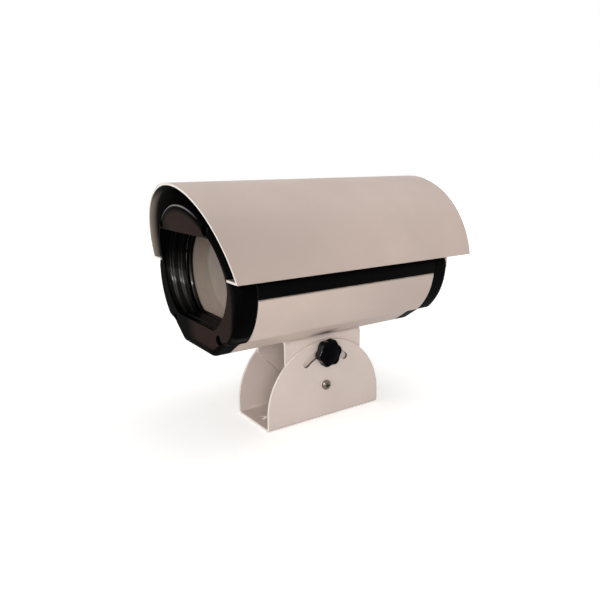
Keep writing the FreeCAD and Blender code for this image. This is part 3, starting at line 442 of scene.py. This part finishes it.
def grained_black(name, code, grain_mm, roughness, specular, dress=None, grain_depth=0.04, round_mm=0.35,
                  polish=None):
    """Black with a fine even grain that breaks up its sheen: ABS and nylon have it from a spark-eroded
    mould, the extrusion from a baked texture coat. The grain is drawn some four times coarser than the
    real one, so that it shows. dress changes the tone in places, and polish the gloss."""
    material, tree = new_material(name)
    place = add(tree, "ShaderNodeTexCoord").outputs["Object"]
    grain = add(tree, "ShaderNodeTexNoise",
                {"Vector": place, "Scale": 1 / (grain_mm * MM), "Detail": 3.0, "Roughness": 0.6})
    drift = add(tree, "ShaderNodeTexNoise",
                {"Vector": place, "Scale": 1 / (30 * MM), "Detail": 3.0, "Roughness": 0.55})
    tone = two_tones(tree, drift, 0.3, 0.7, code, 0.8, 1.25)
    if dress:
        tone = dress(tree, tone)
    sheen = add(tree, "ShaderNodeMapRange",
                {"Value": grain, "To Min": roughness - 0.04, "To Max": roughness + 0.06})
    edge = add(tree, "ShaderNodeBevel", {"Radius": round_mm * MM}, samples=6)
    relief = add(tree, "ShaderNodeBump",
                 {"Height": grain, "Normal": edge, "Strength": 0.25, "Distance": grain_depth * MM})
    shader = add(tree, "ShaderNodeBsdfPrincipled",
                 {"Base Color": tone, "Roughness": sheen, "Normal": relief, "Metallic": 0.0, "IOR": 1.48,
                  "Specular IOR Level": specular})
    if polish:
        polish(tree, shader, edge)
    add(tree, "ShaderNodeOutputMaterial", {"Surface": shader})
    return material


def screw_steel(name, code, roughness, dress=None):
    """Turned steel under zinc plate or black oxide: the faint streaks of the turning show through, and
    the tone clouds over a screw's width. dress changes the tone in places."""
    material, tree = new_material(name)
    place = add(tree, "ShaderNodeTexCoord").outputs["Object"]
    streak = add(tree, "ShaderNodeTexNoise", {"Vector": place, "Scale": 1 / (0.7 * MM), "Detail": 4.0})
    cloud = add(tree, "ShaderNodeTexNoise", {"Vector": place, "Scale": 1 / (6 * MM), "Detail": 2.0})
    tone = two_tones(tree, cloud, 0.3, 0.7, code, 0.82, 1.0)
    if dress:
        tone = dress(tree, tone)
    sheen = add(tree, "ShaderNodeMapRange",
                {"Value": streak, "To Min": roughness - 0.06, "To Max": roughness + 0.08})
    relief = add(tree, "ShaderNodeBump", {"Height": streak, "Strength": 0.1, "Distance": 0.02 * MM})
    shader = add(tree, "ShaderNodeBsdfPrincipled",
                 {"Base Color": tone, "Roughness": sheen, "Normal": relief, "Metallic": 1.0})
    add(tree, "ShaderNodeOutputMaterial", {"Surface": shader})
    return material


def spangled_sheet(name, code):
    """Hot-dip zinc on sheet: flat crystals about 5 mm across that catch the light one by one."""
    material, tree = new_material(name)
    place = add(tree, "ShaderNodeTexCoord").outputs["Object"]
    crystal = add(tree, "ShaderNodeTexVoronoi", {"Vector": place, "Scale": 1 / (5 * MM)})
    level = add(tree, "ShaderNodeSeparateColor", {0: crystal.outputs["Color"]}).outputs
    tone = two_tones(tree, level[0], 0, 1, code, 0.75, 1.0)
    sheen = add(tree, "ShaderNodeMapRange", {"Value": level[1], "To Min": 0.3, "To Max": 0.5})
    shader = add(tree, "ShaderNodeBsdfPrincipled",
                 {"Base Color": tone, "Roughness": sheen, "Metallic": 1.0})
    add(tree, "ShaderNodeOutputMaterial", {"Surface": shader})
    return material


def soft_rubber(name, code):
    """Moulded rubber: nearly no gloss, and a faint chalky bloom in patches."""
    material, tree = new_material(name)
    place = add(tree, "ShaderNodeTexCoord").outputs["Object"]
    bloom = add(tree, "ShaderNodeTexNoise", {"Vector": place, "Scale": 1 / (8 * MM), "Detail": 4.0})
    tone = two_tones(tree, bloom, 0.4, 0.8, code, 1.0, 1.8)
    grit = add(tree, "ShaderNodeTexNoise", {"Vector": place, "Scale": 1 / (0.5 * MM), "Detail": 2.0})
    relief = add(tree, "ShaderNodeBump", {"Height": grit, "Strength": 0.3, "Distance": 0.03 * MM})
    shader = add(tree, "ShaderNodeBsdfPrincipled",
                 {"Base Color": tone, "Normal": relief, "Roughness": 0.85, "IOR": 1.5,
                  "Specular IOR Level": 0.2})
    add(tree, "ShaderNodeOutputMaterial", {"Surface": shader})
    return material


PANE_HEIGHT = (178 * MM, 112 * MM)


def bloomed_glass(name):
    """Float glass with a pale bloom on it that veils the inside and takes away the mirror. Its colour is
    darker high on the pane as painted shade under the shield, and patchy with dust."""
    material, tree = new_material(name)
    place = add(tree, "ShaderNodeTexCoord").outputs["Object"]
    dust = add(tree, "ShaderNodeTexNoise",
               {"Vector": place, "Scale": 1 / (14 * MM), "Detail": 5.0, "Roughness": 0.7})
    low = zone(tree, (place_on_part(tree)["Z"], *PANE_HEIGHT))
    patchy = add(tree, "ShaderNodeMapRange",
                 {"Value": dust, "From Min": 0.3, "From Max": 0.7, "To Min": 0.75, "To Max": 1.1})
    # Painted shade: the pane is darker high up, under the shield; dust makes it patchy
    low_and_dusty = add(tree, "ShaderNodeMath", {0: low, 1: patchy}, operation="MULTIPLY")
    bloom = add(tree, "ShaderNodeMix", {0: low_and_dusty, 6: colour("#73685f"), 7: colour("#a69689")},
                data_type="RGBA")
    smear = add(tree, "ShaderNodeMapRange",
                {"Value": dust, "From Min": 0.45, "From Max": 0.85, "To Min": 0.0, "To Max": 0.05})
    shader = add(tree, "ShaderNodeBsdfPrincipled",
                 {"Base Color": bloom, "Roughness": smear, "IOR": 1.5, "Transmission Weight": 0.2,
                  "Specular IOR Level": 0.01})
    add(tree, "ShaderNodeOutputMaterial", {"Surface": shader})
    return material


def turned_brass(name, code):
    """Brass turned on a lathe: warm, with fine tool rings."""
    material, tree = new_material(name)
    place = add(tree, "ShaderNodeTexCoord").outputs["Object"]
    ring = add(tree, "ShaderNodeTexWave",
               {"Vector": place, "Scale": 1 / (1.2 * MM), "Distortion": 0.6, "Detail": 2.0},
               bands_direction="X").outputs["Fac"]
    tone = two_tones(tree, ring, 0, 1, code, 0.85, 1.0)
    relief = add(tree, "ShaderNodeBump", {"Height": ring, "Strength": 0.2, "Distance": 0.02 * MM})
    shader = add(tree, "ShaderNodeBsdfPrincipled",
                 {"Base Color": tone, "Normal": relief, "Metallic": 1.0, "Roughness": 0.28})
    add(tree, "ShaderNodeOutputMaterial", {"Surface": shader})
    return material


# Painted parts: warm grey-beige powder, satin
SHIELD_COAT = powder_coat("powder_coat_shield", SHIELD_TONE, shield_dress)
BODY_COAT = powder_coat("powder_coat_body", BODY_TONE, shell_dress)
BRACKET_COAT = powder_coat("powder_coat_bracket", "#d5c6be", cut_edges)
# Black parts: the extrusion's coat and the mouldings are near black with a weak sheen, the knob is
# smoother, and the gland nylon is greyer
BLACK_COAT = grained_black("black_baked_coat", "#040404", 0.8, 0.42, 0.02, dress=pale_inside)
BEZEL_PLASTIC = grained_black("moulded_abs_black", "#030303", 0.6, 0.55, 0.008, dress=lit_face_and_rim,
                              grain_depth=0.01, polish=polished_steps)
CAP_PLASTIC = grained_black("moulded_abs_black_cap", "#030303", 0.6, 0.5, 0.015, dress=dust_and_light_back)
KNOB_PLASTIC = grained_black("moulded_nylon_knob", "#030305", 0.5, 0.22, 0.02, grain_depth=0.015,
                             round_mm=0.6, polish=handled_lobes)
GLAND_PLASTIC = grained_black("moulded_nylon_gland", "#111111", 0.7, 0.48, 0.15)
# Fasteners: bright zinc, a darker weathered zinc on the pivots, and black oxide in the bezel
ZINC = screw_steel("zinc_plated_screw_steel", "#8d8983", 0.26)
AGED_ZINC = screw_steel("weathered_zinc_screw_steel", "#776d63", 0.22, dress=painted_shade_cross)
BLACK_STEEL = screw_steel("black_oxide_screw_steel", "#141313", 0.4)
# Bare metal: spangled zinc sheet inside the housing, and yellow brass in the knob
ZINC_SHEET = spangled_sheet("galvanised_sheet", "#b9bbbb")
BRASS = turned_brass("turned_brass", "#c9a45e")
# Seals: black rubber, and grey silicone in the seam of the shells
RUBBER = soft_rubber("epdm_rubber", "#141414")
SEAM_RUBBER = soft_rubber("grey_silicone_rubber", "#8d8279")
# Window: float glass that has weathered
PANE = bloomed_glass("float_glass")

FINISHES = {
    "sunshield": SHIELD_COAT,
    "lower_shell": BODY_COAT,
    "base_bracket": BRACKET_COAT,
    "tilt_bracket": BRACKET_COAT,
    "upper_shell": BLACK_COAT,
    "front_bezel": BEZEL_PLASTIC,
    "rear_cap": CAP_PLASTIC,
    "lock_knob": KNOB_PLASTIC,
    "knob_bush": BRASS,
    "window_glass": PANE,
    "bezel_screws": BLACK_STEEL,
    "pivot_screws": AGED_ZINC,
    "glass_retainer": ZINC_SHEET,
    "camera_sled": ZINC_SHEET,
    "side_gaskets": SEAM_RUBBER,
    "front_gasket": RUBBER,
    "rear_gasket": RUBBER,
    "window_gasket": RUBBER,
    "gland_seals": RUBBER,
    "gland_bodies": GLAND_PLASTIC,
    "gland_nuts": GLAND_PLASTIC,
    "gland_locknuts": GLAND_PLASTIC,
}


def dress_nodes():
    """Every carried-over solid gets its finish; what isn't named is a zinc plated fastener."""
    for name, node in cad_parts.items():
        node.data.materials.clear()
        node.data.materials.append(FINISHES.get(name, ZINC))
    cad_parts["window_glass"].visible_shadow = False


dress_nodes()


# Thread of the clamp bolt, seen between the ears

BOLT_HEIGHT = 67 * MM
BOLT_RADIUS = 3 * MM
THREAD_PITCH = 1 * MM
THREAD_START, THREAD_TURNS = -23 * MM, 46
RIDGE_RADIUS, RIDGE_SINK = 0.42 * THREAD_PITCH, 0.2 * MM
STEPS_A_TURN = 24


def wind_thread(name):
    """A rolled thread's ridge, wound along the bolt from a three-sided profile."""
    bpy.ops.object.select_all(action="DESELECT")
    bpy.ops.mesh.primitive_circle_add(vertices=3, radius=RIDGE_RADIUS, rotation=(math.radians(90), 0, 0),
                                      location=(THREAD_START, 0, BOLT_HEIGHT))
    thread = bpy.context.active_object
    thread.name = name
    bpy.ops.object.transform_apply(location=False, rotation=True, scale=False)
    bpy.ops.object.mode_set(mode="EDIT")
    bpy.ops.mesh.select_all(action="SELECT")
    bpy.ops.transform.translate(value=(0, 0, BOLT_RADIUS - RIDGE_SINK))
    bpy.ops.object.mode_set(mode="OBJECT")
    winding = thread.modifiers.new("winding", "SCREW")
    winding.axis = "X"
    winding.screw_offset = THREAD_PITCH
    winding.iterations = THREAD_TURNS
    winding.steps = winding.render_steps = STEPS_A_TURN
    bpy.ops.object.modifier_apply(modifier="winding")
    bpy.ops.object.mode_set(mode="EDIT")
    bpy.ops.mesh.select_all(action="SELECT")
    bpy.ops.mesh.remove_doubles(threshold=0.001 * MM)
    bpy.ops.mesh.fill_holes(sides=4)
    bpy.ops.mesh.select_all(action="SELECT")
    bpy.ops.mesh.normals_make_consistent(inside=False)
    bpy.ops.object.mode_set(mode="OBJECT")
    bpy.ops.object.transform_apply(location=True, rotation=True, scale=True)
    bpy.ops.object.shade_smooth_by_angle(angle=math.radians(30))
    return thread


bolt_thread = wind_thread("clamp_bolt_thread")
bolt_thread.data.materials.append(ZINC)
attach(bolt_thread, "housing")
